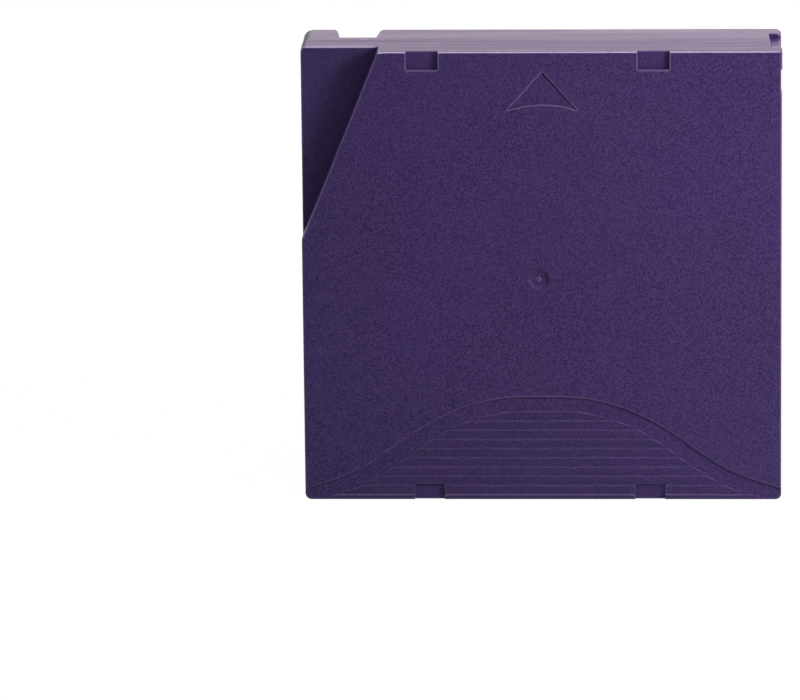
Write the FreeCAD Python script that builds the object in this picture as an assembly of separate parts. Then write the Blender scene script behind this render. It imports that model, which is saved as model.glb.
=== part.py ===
import FreeCAD, Part
import math
import os

# Half-inch data tape cartridge with a single reel, in millimetres.
# It stands on its trailing edge. +Z is the way it goes into a drive, the marked face looks
# along -Y, the hub side along +Y, and the sliding door is on the +X side.

# Case
case_width = 105.4
case_length = 102.0
marked_half_thickness = 11.45
marked_wall = 1.75
hub_wall = 1.4
edge_wall = 1.8
door_side_wall = 1.2
marked_corner_radius = 1.4
marked_door_corner_radius = 0.6
hub_corner_radius = 2.2
hub_door_corner_radius = 1.4
marked_bevel = 0.35
hub_bevel = 0.7
side_relief = 0.08
hub_side_relief = 0.16
lead_lip_length = 4.2
side_groove_length = 5.3
side_groove_depth = 0.2
parting_groove_depth = 0.16
parting_groove_width = 0.16
reach = 2.0

# Insertion guide, a slanted recess at the leading left corner of the marked face
guide_lead_run = 17.1
guide_side_run = 42.5
guide_depth = 5.7
guide_wall = 1.4

# Notch in the leading edge of the hub-side half
notch_inset = 12.3
notch_width_out = 9.9
notch_width_in = 8.0
notch_round = 1.7
notch_height = 8.0
notch_depth = 5.6
notch_wall = 1.2

# Shallow recesses and marks on the marked face
lead_rest_offset = 25.3
lead_rest_width = 7.0
lead_rest_length = 4.2
trail_rest_offset = 24.4
trail_rest_width = 6.6
trail_rest_length = 3.6
rest_depth = 0.9
arrow_x = 0.3
arrow_apex_gap = 4.5
arrow_length = 8.8
arrow_width = 15.6
arrow_bulge = 1.35
arrow_depth = 0.3
gate_mouth_radius = 2.3
gate_radius = 1.6
gate_depth = 0.45
gate_stub_radius = 0.5
gate_stub_height = 0.25

# Finger grip at the trailing end of the marked face
grip_depth = 0.35
grip_tooth_height = 0.32
grip_tooth_run = 0.3
grip_tooth_count = 10
grip_tooth_pitch = 2.12
grip_first_z = 20.1
grip_outer_margin = -1.0
grip_inner_margin = 5.2
# Height of each curve at shares of its half width
grip_outer_curve = ((0.0, 23.7), (0.167, 23.3), (0.376, 20.1), (0.605, 12.6), (0.748, 7.3),
                    (0.834, 5.2), (1.0, 2.4))
grip_inner_curve = ((0.0, 20.9), (0.177, 20.1), (0.444, 16.0), (0.640, 9.6), (0.842, 3.3), (1.0, 0.7))

# Label recess, handling notches and write-protect window
label_left_margin = 23.7
label_right_margin = 2.7
label_half_height = 8.4
label_depth = 0.4
handle_notch_z = 10.0
handle_notch_length = 6.0
handle_notch_height = 5.0
handle_notch_depth = 1.8
handle_notch_wall = 1.0
switch_window_inset = 12.4
switch_window_y = -5.5
switch_window_height = 4.2

# Reel
reel_x = -0.7
reel_offset_z = -0.5
tape_width = 12.65
tape_side_gap = 0.2
reel_room_marked = 2.825
reel_room_hub = 0.675
reel_end_room = 1.2
flange_thickness = 0.9
hub_radius = 22.0
hub_side_wall = 2.5
hub_floor = 1.5
pack_inset = 1.4
wound_fit = 0.05
reel_float_gap = 0.3
reel_side_gap = 0.9
reel_rib_wall = 1.0
reel_rib_height = 5.0
reel_rib_half_angle = 14.0

# Drive gear ring and clutch plate under the hub
gear_teeth = 60
gear_outer_radius = 17.5
gear_inner_radius = 14.4
gear_tooth_height = 1.4
gear_tooth_base = 1.15
gear_tooth_tip = 0.45
window_clearance = 0.8
window_rim_width = 1.7
plate_radius = 13.6
plate_hole_radius = 4.5
plate_thickness = 1.0
plate_sunk = 0.5
plate_fit = 0.05

# Brake, its key, its spring and the release pad
brake_teeth = 24
brake_tooth_outer_radius = 13.6
brake_tooth_inner_radius = 10.6
brake_tooth_height = 1.2
brake_tooth_base = 1.4
brake_tooth_tip = 0.7
brake_tooth_end_inset = 0.2
tooth_root_sunk = 0.3
brake_wall_height = 2.6
brake_mesh_gap = 0.35
brake_travel = 1.5
brake_plate = 1.25
brake_collar_radius = 5.4
brake_collar_height = 5.3
key_span = 7.4
key_thickness = 1.3
key_clearance = 0.3
key_end_gap = 0.5
pad_thickness = 1.2
pad_core_radius = 8.5
pad_boss_radius = 2.5
pad_gap = 0.2
pad_arm_width = 4.2
pad_foot_radius = 1.3
pad_foot_circle = 16.0
pad_hole_clearance = 0.3
pad_foot_inset = 0.2
pad_gap_half_angle = 15.0
pad_arm_angles = (90, 210, 330)
brake_spring_radius = 8.0
brake_spring_wire = 0.8
brake_spring_turns = 4
spring_seat_wall = 1.0
spring_seat_height = 1.4
spring_seat_half_angle = 20.0
brake_spring_end_gap = 0.1

# Door, its rails and its spring
door_notch_width = 2.95
door_notch_slant = 0.55
door_notch_marked_margin = 3.95
door_notch_hub_margin = 4.8
door_end_gap = 1.25
door_head_length = 5.0
door_head_inset = 0.4
door_head_side_gap = 0.4
door_travel = 21.0
door_stop_gap = 0.4
door_thickness = 1.2
door_clearance = 0.3
door_length = 48.0
opening_margin_marked = 0.6
opening_margin_hub = 0.2
door_cover_overlap = 1.0
door_tail_radius = 0.8
door_tail_length = 5.0
rail_thickness = 0.8
rail_clearance = 0.15
rail_height = 1.6
rail_length = 11.5
rail_lead_inset = 16.5
door_spring_radius = 1.15
door_spring_wire = 0.4
door_spring_turns = 13
door_spring_y = 4.0
door_spring_inset = 2.95
door_spring_seat_z = 17.2
door_spring_end_gap = 0.15
spring_anchor_thickness = 2.0

# Leader pin, its clip and its holding spring
pin_side_inset = 7.3
pin_lead_inset = 12.0
pin_tape_gap = 0.125
pin_shaft_radius = 1.3
pin_end_radius = 2.7
pin_end_thickness = 1.05
clip_inner_radius = 1.55
clip_outer_radius = 2.3
clip_half_opening = 52.0
clip_end_gap = 0.2
lead_thickness = 0.12
lead_pin_fit = 0.02
lead_pack_gap = 0.3
pin_seat_gap = 0.1
pin_seat_clearance = 0.3
pin_seat_wall = 1.0
pin_seat_rise = 1.0
pin_spring_thickness = 0.3
pin_spring_reach = 5.4
pin_spring_wall_gap = 0.3
pin_spring_arm_drop = 2.0
pin_spring_gap = 0.15

# Screws and their posts
screw_left_inset = 5.8
screw_lead_drop = 22.0
screw_lead_x = 24.5
screw_lead_inset = 5.6
screw_left_z = 17.0
screw_right_inset = 8.5
screw_right_z = 13.0
post_radius = 3.4
head_recess_radius = 2.6
head_recess_depth = 3.5
screw_head_radius = 2.2
screw_head_height = 1.5
screw_cross_span = 2.2
screw_cross_width = 0.5
screw_cross_depth = 0.8
screw_radius = 1.0
screw_length = 8.7
screw_hole_clearance = 0.25
screw_pilot_clearance = 0.03
pilot_end_gap = 0.4

# Locating holes in the hub side
round_hole_side_inset = 19.2
round_hole_lead_inset = 9.6
round_hole_radius = 3.0
oblong_hole_side_inset = 23.1
oblong_hole_lead_inset = 6.0
oblong_hole_radius = 2.2
oblong_hole_travel = 3.0
locating_depth = 6.2
locating_wall = 1.2

# Write-protect slider and its rail
slider_length = 13.0
slider_thickness = 1.2
slider_travel = 5.5
slider_clearance = 0.3
slider_tab_length = 5.6
slider_tab_inset = 0.3
slider_tab_clearance = 0.15
slider_groove_count = 3
slider_groove_width = 0.5
slider_groove_depth = 0.4
slider_rail_height = 2.2
slider_rail_thickness = 1.0
slider_rail_length = 21.0
slider_drop = 5.8

# Memory chip, held aslant in the trailing left corner
chip_length = 11.6
chip_width = 8.2
chip_thickness = 0.8
chip_side_inset = 9.4
saddle_size = 8.5
saddle_wall = 1.2
saddle_inset = 0.3
saddle_tongue = 1.6
saddle_tongue_gap = 0.15
saddle_gap = 0.05
press_rib_thickness = 1.2
press_rib_gap = 0.2

# What repeats has flat sides, so that it stays light
wire_sides = 4
wire_bends_per_turn = 8
fastener_sides = 12

# Places that follow from the sizes above
side_x = case_width / 2
flange_gap = tape_width + 2 * tape_side_gap
reel_room = reel_room_marked + flange_gap + 2 * flange_thickness + reel_room_hub
case_thickness = marked_wall + reel_room + hub_wall
marked_y = -case_thickness / 2
hub_y = case_thickness / 2
parting_y = marked_y + marked_half_thickness
ceiling_y = marked_y + marked_wall
floor_y = hub_y - hub_wall
inner_left_x = -side_x + edge_wall
inner_right_x = side_x - door_side_wall
inner_lead_z = case_length - edge_wall
guide_lead_x = guide_lead_run - side_x
guide_side_z = case_length - guide_side_run
notch_x = notch_inset - side_x
switch_window_x = switch_window_inset - side_x
reel_z = case_length / 2 + reel_offset_z
flange_radius = min(case_width, case_length) / 2 - edge_wall - reel_end_room
pack_radius = flange_radius - pack_inset
hub_cavity_radius = hub_radius - hub_side_wall
flange_top_y = ceiling_y + reel_room_marked + flange_thickness
flange_bottom_y = flange_top_y + flange_gap
tape_centre_y = flange_top_y + flange_gap / 2
reel_under_y = flange_bottom_y + flange_thickness
hub_floor_y = reel_under_y - hub_floor
brake_wall_y = hub_floor_y - brake_wall_height
brake_root_y = brake_wall_y - brake_tooth_height - brake_mesh_gap
brake_top_y = brake_root_y - brake_plate
pad_top_y = hub_floor_y - pad_thickness
key_end_y = brake_top_y - brake_travel - key_end_gap
window_radius = gear_outer_radius + window_clearance
door_x1 = inner_right_x - door_clearance
door_x0 = door_x1 - door_thickness
door_lead_z = case_length - door_end_gap
door_panel_lead_z = inner_lead_z - door_clearance
door_tail_z = door_panel_lead_z - door_length
door_notch_y0 = marked_y + door_notch_marked_margin
door_notch_y1 = hub_y - door_notch_hub_margin
rail_z1 = case_length - rail_lead_inset
rail_z0 = rail_z1 - rail_length
door_notch_x = side_x - door_notch_width
door_spring_x = side_x - door_spring_inset
pin_x = side_x - pin_side_inset
pin_z = case_length - pin_lead_inset
pin_length = tape_width + 2 * (pin_tape_gap + pin_end_thickness)
pin_y0 = tape_centre_y - pin_length / 2
pin_y1 = tape_centre_y + pin_length / 2
opening_y0 = pin_y0 - opening_margin_marked
opening_y1 = pin_y1 + opening_margin_hub
opening_z0 = door_lead_z - door_head_length - door_travel - door_stop_gap
screw_places = ((screw_left_inset - side_x, case_length - screw_lead_drop),
                (screw_lead_x, case_length - screw_lead_inset),
                (screw_left_inset - side_x, screw_left_z),
                (side_x - screw_right_inset, screw_right_z))
round_hole_x = side_x - round_hole_side_inset
round_hole_z = case_length - round_hole_lead_inset
oblong_hole_x = oblong_hole_side_inset - side_x
oblong_hole_z = case_length - oblong_hole_lead_inset
chip_x = chip_side_inset - side_x
screw_seat_y = hub_y - head_recess_depth
screw_tip_y = screw_seat_y - screw_length
switch_window_length = slider_tab_length + slider_travel + 2 * slider_tab_clearance
slider_z0 = edge_wall + slider_clearance
slider_z1 = slider_z0 + slider_thickness
slider_y0 = ceiling_y + slider_clearance
slider_y1 = slider_y0 + slider_drop
axis_y = FreeCAD.Vector(0, 1, 0)


def vec(x, y, z):
    return FreeCAD.Vector(x, y, z)


def block(x0, x1, y0, y1, z0, z1):
    return Part.makeBox(x1 - x0, y1 - y0, z1 - z0, vec(x0, y0, z0))


def disc(radius, y0, y1, x, z):
    return Part.makeCylinder(radius, y1 - y0, vec(x, y0, z), axis_y)


def tube(outer, inner, y0, y1, x, z):
    return disc(outer, y0, y1, x, z).cut(disc(inner, y0, y1, x, z))


def flat_sided(radius, y0, y1, x, z):
    """Round post, shank or hole along Y with flat sides, its corners at the radius."""
    turns = [2 * math.pi * i / fastener_sides for i in range(fastener_sides)]
    ring = [vec(x + radius * math.cos(turn), y0, z + radius * math.sin(turn)) for turn in turns]
    return Part.Face(Part.makePolygon(ring + ring[:1])).extrude(vec(0, y1 - y0, 0))


def joined(base, pieces):
    return base.multiFuse(pieces) if pieces else base


def without(base, tools):
    for tool in tools:
        base = base.cut(tool)
    return base


def corner_arc(before, at, after, radius):
    """Edge that rounds one corner of an outline, with the points where it starts and ends."""
    back = (before - at).normalize()
    on = (after - at).normalize()
    half = back.getAngle(on) / 2
    start = at + back * (radius / math.tan(half))
    end = at + on * (radius / math.tan(half))
    middle = at + (back + on).normalize() * (radius / math.sin(half) - radius)
    return start, Part.Arc(start, middle, end).toShape(), end


def outline(corners, y):
    """Closed wire in the plane of constant Y. A corner is x, z and its rounding radius."""
    points = [vec(x, y, z) for x, z, radius in corners]
    edges, firsts, lasts = [], [], []
    for i, (x, z, radius) in enumerate(corners):
        if radius > 0:
            start, arc, end = corner_arc(points[i - 1], points[i], points[(i + 1) % len(points)], radius)
            edges.append(arc)
        else:
            start = end = points[i]
        firsts.append(start)
        lasts.append(end)
    for i, last in enumerate(lasts):
        following = firsts[(i + 1) % len(firsts)]
        edges.append(Part.makeLine(last, following))
    return Part.Wire(Part.__sortEdges__(edges))


def prism(corners, y0, y1):
    return Part.Face(outline(corners, y0)).extrude(vec(0, y1 - y0, 0))


def box_outline(x0, x1, z0, z1, radius):
    return [(x0, z0, radius), (x1, z0, radius), (x1, z1, radius), (x0, z1, radius)]


def profile_along_z(points, z0, z1):
    """Solid of a closed outline of (x, y) points, carried from z0 to z1."""
    ring = [vec(x, y, z0) for x, y in points]
    return Part.Face(Part.makePolygon(ring + ring[:1])).extrude(vec(0, 0, z1 - z0))


def profile_along_x(points, x0, x1):
    """Solid of a closed outline of (y, z) points, carried from x0 to x1."""
    ring = [vec(x0, y, z) for y, z in points]
    return Part.Face(Part.makePolygon(ring + ring[:1])).extrude(vec(x1 - x0, 0, 0))


def sector(angle, half_angle, radius, y0, y1, x, z):
    """Wedge about an axis along Y, its middle at an angle measured from +X towards +Z."""
    points = [vec(x, y0, z)]
    for side in (-1, 1):
        turn = math.radians(angle + side * half_angle)
        points.append(vec(x + radius * math.cos(turn), y0, z + radius * math.sin(turn)))
    return Part.Face(Part.makePolygon(points + points[:1])).extrude(vec(0, y1 - y0, 0))


def case_outline(radius, door_radius):
    """Outline of a half-case, its corner above the door with a radius of its own."""
    corners = box_outline(-side_x, side_x, 0, case_length, radius)
    corners[2] = (side_x, case_length, door_radius)
    return corners


def case_blank(y0, y1, face_y, bevel, corners):
    """Outer block of one half-case, its edges broken round the outer face."""
    blank = prism(corners, y0, y1)
    rim = [e for e in blank.Edges if all(abs(v.Y - face_y) < 1e-6 for v in e.Vertexes)]
    return blank.makeChamfer(bevel, rim)


def marked_blank():
    corners = case_outline(marked_corner_radius, marked_door_corner_radius)
    return case_blank(marked_y, parting_y, marked_y, marked_bevel, corners)


def hub_blank():
    corners = case_outline(hub_corner_radius, hub_door_corner_radius)
    return case_blank(parting_y, hub_y, hub_y, hub_bevel, corners)


def case_cavity(y0, y1):
    return block(inner_left_x, inner_right_x, y0, y1, edge_wall, inner_lead_z)


def door_side_reliefs(lip_relief):
    """The door side stands back behind a lip at the leading end, and a groove follows the lip."""
    lip_z = case_length - lead_lip_length
    groove_z = lip_z - side_groove_length
    steps = ((side_relief, -reach, groove_z), (side_relief + side_groove_depth, groove_z, lip_z),
             (lip_relief, lip_z, case_length + reach))
    return [block(side_x - depth, side_x + reach, marked_y - reach, hub_y + reach, z0, z1)
            for depth, z0, z1 in steps if depth > 0]


def parting_groove():
    """Fine groove all round the outside, where the two halves meet."""
    y0 = parting_y - parting_groove_width / 2
    y1 = parting_y + parting_groove_width / 2
    ring = block(-side_x - reach, side_x + reach, y0, y1, -reach, case_length + reach)
    inner_x = side_x - hub_side_relief - parting_groove_depth
    lead_z = case_length - parting_groove_depth
    core = box_outline(-inner_x, inner_x, parting_groove_depth, lead_z, hub_corner_radius)
    return ring.cut(prism(core, y0, y1))


def guide_triangle(offset, y0, y1):
    """Corner wedge beyond the slanted wall, moved towards the reel by an offset."""
    run = vec(-side_x - guide_lead_x, 0, guide_side_z - case_length).normalize()
    towards_reel = vec(-run.z, 0, run.x)
    margin = run * (4 * reach)
    lead = vec(guide_lead_x, 0, case_length) + towards_reel * offset - margin
    side = vec(-side_x, 0, guide_side_z) + towards_reel * offset + margin
    corner = (-side_x - 4 * reach, case_length + 4 * reach, 0)
    return prism([(lead.x, lead.z, 0), (side.x, side.z, 0), corner], y0, y1)


def mirrored_curve(half_curve, half_width):
    shares = [(-share, z) for share, z in reversed(half_curve[1:])] + list(half_curve)
    return [vec(share * half_width, marked_y - reach, z) for share, z in shares]


def bell(half_curve, margin, depth):
    """Prism under a bell-shaped curve that runs out at the trailing edge."""
    points = mirrored_curve(half_curve, side_x - margin)
    curve = Part.BSplineCurve()
    curve.interpolate(points)
    low_right = vec(points[-1].x, points[-1].y, -reach)
    low_left = vec(points[0].x, points[0].y, -reach)
    edges = [curve.toShape(), Part.makeLine(points[-1], low_right),
             Part.makeLine(low_right, low_left), Part.makeLine(low_left, points[0])]
    return Part.Face(Part.Wire(edges)).extrude(vec(0, reach + depth, 0))


def grip_teeth():
    """Sawtooth steps that face the leading end, bounded by the inner bell."""
    ground = marked_y + grip_depth
    points = [(ground + grip_depth, grip_first_z + grip_tooth_run)]
    for i in range(grip_tooth_count):
        z = grip_first_z - i * grip_tooth_pitch
        points.append((ground, z + grip_tooth_run))
        points.append((ground - grip_tooth_height, z))
    last_z = max(grip_first_z - grip_tooth_count * grip_tooth_pitch, marked_bevel)
    points.append((ground, last_z))
    points.append((ground + grip_depth, last_z))
    saw = profile_along_x(points, -side_x, side_x)
    return saw.common(bell(grip_inner_curve, grip_inner_margin, 2 * grip_depth))


def arrow():
    """Sunk arrow that points to the leading edge, its foot an arc that bulges towards the tip."""
    tip_z = case_length - arrow_apex_gap
    foot_z = tip_z - arrow_length
    tip = vec(arrow_x, marked_y - reach, tip_z)
    left = vec(arrow_x - arrow_width / 2, tip.y, foot_z)
    right = vec(arrow_x + arrow_width / 2, tip.y, foot_z)
    foot = Part.Arc(left, vec(arrow_x, tip.y, foot_z + arrow_bulge), right).toShape()
    wire = Part.Wire([Part.makeLine(right, tip), Part.makeLine(tip, left), foot])
    return Part.Face(wire).extrude(vec(0, reach + arrow_depth, 0))


def gate_mark():
    """Dished dimple round the moulding gate, less the stub that the gate leaves in its middle."""
    face_centre = vec(reel_x, marked_y, reel_z)
    dish = Part.makeCone(gate_mouth_radius, gate_radius, gate_depth, face_centre, axis_y)
    bed_y = marked_y + gate_depth
    return dish.cut(flat_sided(gate_stub_radius, bed_y - gate_stub_height, bed_y + reach, reel_x, reel_z))


def face_rests():
    """Shallow recesses at the leading and trailing edges of the marked face."""
    cuts = []
    for side in (-1, 1):
        x = reel_x + side * lead_rest_offset
        cuts.append(block(x - lead_rest_width / 2, x + lead_rest_width / 2, marked_y - reach,
                          marked_y + rest_depth, case_length - lead_rest_length, case_length + reach))
        x = reel_x + side * trail_rest_offset
        cuts.append(block(x - trail_rest_width / 2, x + trail_rest_width / 2, marked_y - reach,
                          marked_y + rest_depth, -reach, trail_rest_length))
    return cuts


def label_recess():
    return block(label_left_margin - side_x, side_x - label_right_margin,
                 -label_half_height, label_half_height, -reach, label_depth)


def handle_blocks(grow, outer_x):
    """Blocks for the handling notches in both sides near the trailing edge, or the walls round them."""
    made = []
    half_length = handle_notch_length / 2 + grow
    half_height = handle_notch_height / 2 + grow
    inner_x = side_x - handle_notch_depth - grow
    for side in (-1, 1):
        x0, x1 = sorted((side * inner_x, side * outer_x))
        made.append(block(x0, x1, -half_height, half_height,
                          handle_notch_z - half_length, handle_notch_z + half_length))
    return made


def handle_notches():
    return handle_blocks(0, side_x + reach)


def handle_walls(inside):
    walls = handle_blocks(handle_notch_wall, side_x)
    return [wall.common(inside) for wall in walls]


def door_openings():
    """Side opening for the leader pin and the notch at the leading corner above it."""
    side_way = block(door_notch_x, side_x + reach, opening_y0, opening_y1, opening_z0, door_panel_lead_z)
    points = [(door_notch_x + door_notch_slant, door_notch_y0), (side_x + reach, door_notch_y0),
              (side_x + reach, door_notch_y1), (door_notch_x, door_notch_y1)]
    corner = profile_along_z(points, door_panel_lead_z - reach, case_length + reach)
    return [side_way, corner]


def door_rails(y0, y1):
    x1 = door_x0 - rail_clearance
    return block(x1 - rail_thickness, x1, y0, y1, rail_z0, rail_z1)


def reel_ribs(y0, y1):
    """Arcs of wall round the reel in three corners, none at the leader pin's corner."""
    inner = flange_radius + reel_side_gap
    ring = tube(inner + reel_rib_wall, inner, y0, y1, reel_x, reel_z)
    return [ring.common(sector(a, reel_rib_half_angle, 2 * inner, y0, y1, reel_x, reel_z))
            for a in (135, 225, 315)]


def pin_seat(face_y, pin_end_y, towards):
    """Pad at the end of the leader pin with a wall round its inner half."""
    seat_y = pin_end_y - towards * pin_seat_gap
    rise_y = pin_end_y + towards * pin_seat_rise
    outer = pin_end_radius + pin_seat_clearance + pin_seat_wall
    low, high = sorted((face_y, seat_y))
    pad = block(pin_x - outer, pin_x + outer, low, high, pin_z - outer, pin_z + outer)
    low, high = sorted((seat_y, rise_y))
    wall = tube(outer, pin_end_radius + pin_seat_clearance, low, high, pin_x, pin_z)
    wall = wall.common(block(pin_x - 2 * outer, pin_x, low, high, pin_z - 2 * outer, pin_z + 2 * outer))
    return [pad, wall]


def cross(span, thickness, y0, y1, x, z):
    """Two bars that cross at a right angle about an axis along Y."""
    long, short = span / 2, thickness / 2
    across = block(x - long, x + long, y0, y1, z - short, z + short)
    along = block(x - short, x + short, y0, y1, z - long, z + long)
    return across.fuse(along)


def chip_frame():
    """Middle of the chip's slanted seat, and the unit vectors across it and out of it."""
    across = vec(0, -1, -1).normalize()
    out = vec(0, -1, 1).normalize()
    middle_y = floor_y - (saddle_size - saddle_tongue) / 2
    middle_z = edge_wall + (saddle_size + saddle_tongue) / 2
    return vec(chip_x, middle_y, middle_z), across, out


def slanted_plate(length, width, y_out, thickness):
    """Plate parallel to the chip's seat, its underside a distance out from the seat."""
    middle, across, out = chip_frame()
    start = middle + out * y_out - across * (width / 2) - vec(length / 2, 0, 0)
    end = start + vec(length, 0, 0)
    ring = [start, end, end + across * width, start + across * width]
    return Part.Face(Part.makePolygon(ring + ring[:1])).extrude(out * thickness)


def press_rib():
    """Rib of the marked half that keeps the chip on its seat."""
    middle, across, out = chip_frame()
    half = press_rib_thickness / 2
    centre_z = middle.z + press_rib_thickness
    chip_face_y = middle.y - (saddle_gap + chip_thickness) * math.sqrt(2) + half
    return block(chip_x - half, chip_x + half, ceiling_y, chip_face_y - press_rib_gap,
                 centre_z - half, centre_z + half)


def upper_case():
    inside = marked_blank()
    shell = inside.cut(case_cavity(ceiling_y, parting_y + reach))
    guide = guide_triangle(guide_wall, marked_y, marked_y + guide_depth + guide_wall).common(inside)
    posts = []
    pilots = []
    for x, z in screw_places:
        posts.append(flat_sided(post_radius, ceiling_y, parting_y, x, z))
        pilots.append(flat_sided(screw_radius + screw_pilot_clearance, screw_tip_y - pilot_end_gap,
                                 parting_y + reach, x, z))
    seat_radius = brake_spring_radius + brake_spring_wire
    seat_top_y = ceiling_y + spring_seat_height
    seat_ring = tube(seat_radius + spring_seat_wall, seat_radius, ceiling_y, seat_top_y, reel_x, reel_z)
    seat_arcs = [sector(angle, spring_seat_half_angle, 2 * seat_radius, ceiling_y, seat_top_y, reel_x, reel_z)
                 for angle in pad_arm_angles]
    spring_seat = [seat_ring.common(arc) for arc in seat_arcs]
    rail_z = slider_z1 + slider_clearance
    rail = block(inner_left_x, inner_left_x + slider_rail_length, ceiling_y, ceiling_y + slider_rail_height,
                 rail_z, rail_z + slider_rail_thickness)
    key = cross(key_span, key_thickness, ceiling_y, key_end_y, reel_x, reel_z)
    ribs = reel_ribs(ceiling_y, ceiling_y + reel_rib_height)
    added = posts + ribs + handle_walls(inside) + pin_seat(ceiling_y, pin_y0, 1)
    added += spring_seat + [guide, rail, press_rib(), key, door_rails(ceiling_y, ceiling_y + rail_height)]
    shell = joined(shell, added)
    window = block(switch_window_x - switch_window_length / 2, switch_window_x + switch_window_length / 2,
                   switch_window_y - switch_window_height / 2, switch_window_y + switch_window_height / 2,
                   -reach, edge_wall)
    cuts = [guide_triangle(0, marked_y - reach, marked_y + guide_depth), arrow(), gate_mark(), window,
            label_recess(), bell(grip_outer_curve, grip_outer_margin, grip_depth), parting_groove()]
    cuts += pilots + door_openings() + handle_notches() + door_side_reliefs(0)
    shell = without(shell, cuts)
    shell = shell.fuse(grip_teeth())
    shell = without(shell, face_rests())
    return shell.removeSplitter()


def lead_notch(grow, z_over):
    """Loading notch in the leading edge, wider towards the outside, or the walls round it."""
    half_out = notch_width_out / 2 + grow
    half_in = notch_width_in / 2 + grow
    inner_y = hub_y - notch_height - grow
    low_z = case_length - notch_depth - grow
    points = [(notch_x - half_out, hub_y), (notch_x + half_out, hub_y),
              (notch_x + half_in, inner_y), (notch_x - half_in, inner_y)]
    return profile_along_z(points, low_z, case_length + z_over)


def notch_mouth(side):
    """What is cut from one outer corner of the loading notch to round it."""
    corner_x = notch_x + side * notch_width_out / 2
    low_z = case_length - notch_depth
    x0, x1 = sorted((corner_x - side * notch_round, corner_x + side * notch_round))
    corner = block(x0, x1, hub_y - notch_round, hub_y + reach, low_z, case_length + reach)
    rounding = Part.makeCylinder(notch_round, case_length + 2 * reach - low_z,
                                 vec(corner_x + side * notch_round, hub_y - notch_round, low_z - reach))
    return corner.cut(rounding)


def oblong(radius, y0, y1):
    """Slot along X with round ends, or the boss round it."""
    x0 = oblong_hole_x - oblong_hole_travel / 2
    x1 = oblong_hole_x + oblong_hole_travel / 2
    middle = block(x0, x1, y0, y1, oblong_hole_z - radius, oblong_hole_z + radius)
    return joined(middle, [disc(radius, y0, y1, x, oblong_hole_z) for x in (x0, x1)])


def chip_saddles():
    """Two ribs that carry the chip aslant, with tongues that rise to the slider's lower edge."""
    top_z = edge_wall + saddle_size
    tongue_z = edge_wall + saddle_tongue
    tongue_y = slider_y1 + slider_clearance
    knee_y = floor_y - saddle_size + saddle_tongue
    free_z = edge_wall + saddle_tongue_gap
    points = [(floor_y, edge_wall), (floor_y, top_z), (knee_y, tongue_z), (tongue_y, tongue_z),
              (tongue_y, free_z), (parting_y, free_z), (parting_y, edge_wall)]
    half = chip_length / 2 - saddle_inset
    return [profile_along_x(points, chip_x - half, chip_x - half + saddle_wall),
            profile_along_x(points, chip_x + half - saddle_wall, chip_x + half)]


def lower_case():
    inside = hub_blank()
    shell = inside.cut(case_cavity(parting_y - reach, floor_y))
    rim_y = reel_under_y + reel_float_gap
    added = [tube(window_radius + window_rim_width, window_radius, rim_y, floor_y, reel_x, reel_z)]
    cuts = [disc(window_radius, floor_y - reach, hub_y + reach, reel_x, reel_z)]
    for x, z in screw_places:
        added.append(flat_sided(post_radius, parting_y, floor_y, x, z))
        cuts.append(disc(head_recess_radius, screw_seat_y, hub_y + reach, x, z))
        cuts.append(flat_sided(screw_radius + screw_hole_clearance, parting_y - reach, hub_y, x, z))
    locating_y = hub_y - locating_depth
    boss_y = locating_y - locating_wall
    added.append(disc(round_hole_radius + locating_wall, boss_y, floor_y, round_hole_x, round_hole_z))
    added.append(oblong(oblong_hole_radius + locating_wall, boss_y, floor_y))
    cuts.append(disc(round_hole_radius, locating_y, hub_y + reach, round_hole_x, round_hole_z))
    cuts.append(oblong(oblong_hole_radius, locating_y, hub_y + reach))
    added.append(lead_notch(notch_wall, 0).common(inside))
    cuts += [lead_notch(0, reach), notch_mouth(-1), notch_mouth(1), parting_groove()]
    added += reel_ribs(floor_y - reel_rib_height, floor_y)
    added += handle_walls(inside) + pin_seat(floor_y, pin_y1, -1) + chip_saddles()
    added.append(door_rails(floor_y - rail_height, floor_y))
    anchor_z0 = door_spring_seat_z - spring_anchor_thickness
    half = door_spring_radius + door_spring_wire
    added.append(block(door_spring_x - half, inner_right_x, door_spring_y - half, floor_y,
                       anchor_z0, door_spring_seat_z))
    cuts += [label_recess()] + door_openings() + handle_notches() + door_side_reliefs(hub_side_relief)
    shell = without(joined(shell, added), cuts)
    return shell.removeSplitter()


def case_screws():
    """Four screws that draw the halves together from the hub side."""
    made = []
    for x, z in screw_places:
        head = disc(screw_head_radius, screw_seat_y, screw_seat_y + screw_head_height, x, z)
        shank = flat_sided(screw_radius, screw_tip_y, screw_seat_y, x, z)
        top_y = screw_seat_y + screw_head_height
        recess = cross(screw_cross_span, screw_cross_width, top_y - screw_cross_depth, top_y + reach, x, z)
        made.append(head.fuse(shank).cut(recess))
    return Part.makeCompound(made)


def radial_tooth(base, tip, height, r0, r1, root_y, towards):
    """Straight tooth along a radius, wider at its root, that stands on a face across Y."""
    top_y = root_y + towards * height
    low_y = root_y - towards * tooth_root_sunk
    points = [vec(r0, low_y, -base / 2), vec(r0, root_y, -base / 2), vec(r0, top_y, -tip / 2),
              vec(r0, top_y, tip / 2), vec(r0, root_y, base / 2), vec(r0, low_y, base / 2)]
    return Part.Face(Part.makePolygon(points + points[:1])).extrude(vec(r1 - r0, 0, 0))


def tooth_ring(tooth, count, first_angle, skip):
    """Copies of a tooth about the reel's axis, without those that a test leaves out."""
    made = []
    for i in range(count):
        angle = first_angle + i * 360 / count
        if skip(angle):
            continue
        copy = tooth.copy()
        copy.rotate(vec(0, 0, 0), vec(0, -1, 0), angle)
        copy.translate(vec(reel_x, 0, reel_z))
        made.append(copy)
    return made


def arm_gap_near(angle):
    """Whether an angle lies in one of the three gaps that the release pad's arms pass through."""
    return any(abs((angle - arm + 180) % 360 - 180) < pad_gap_half_angle for arm in pad_arm_angles)


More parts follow.
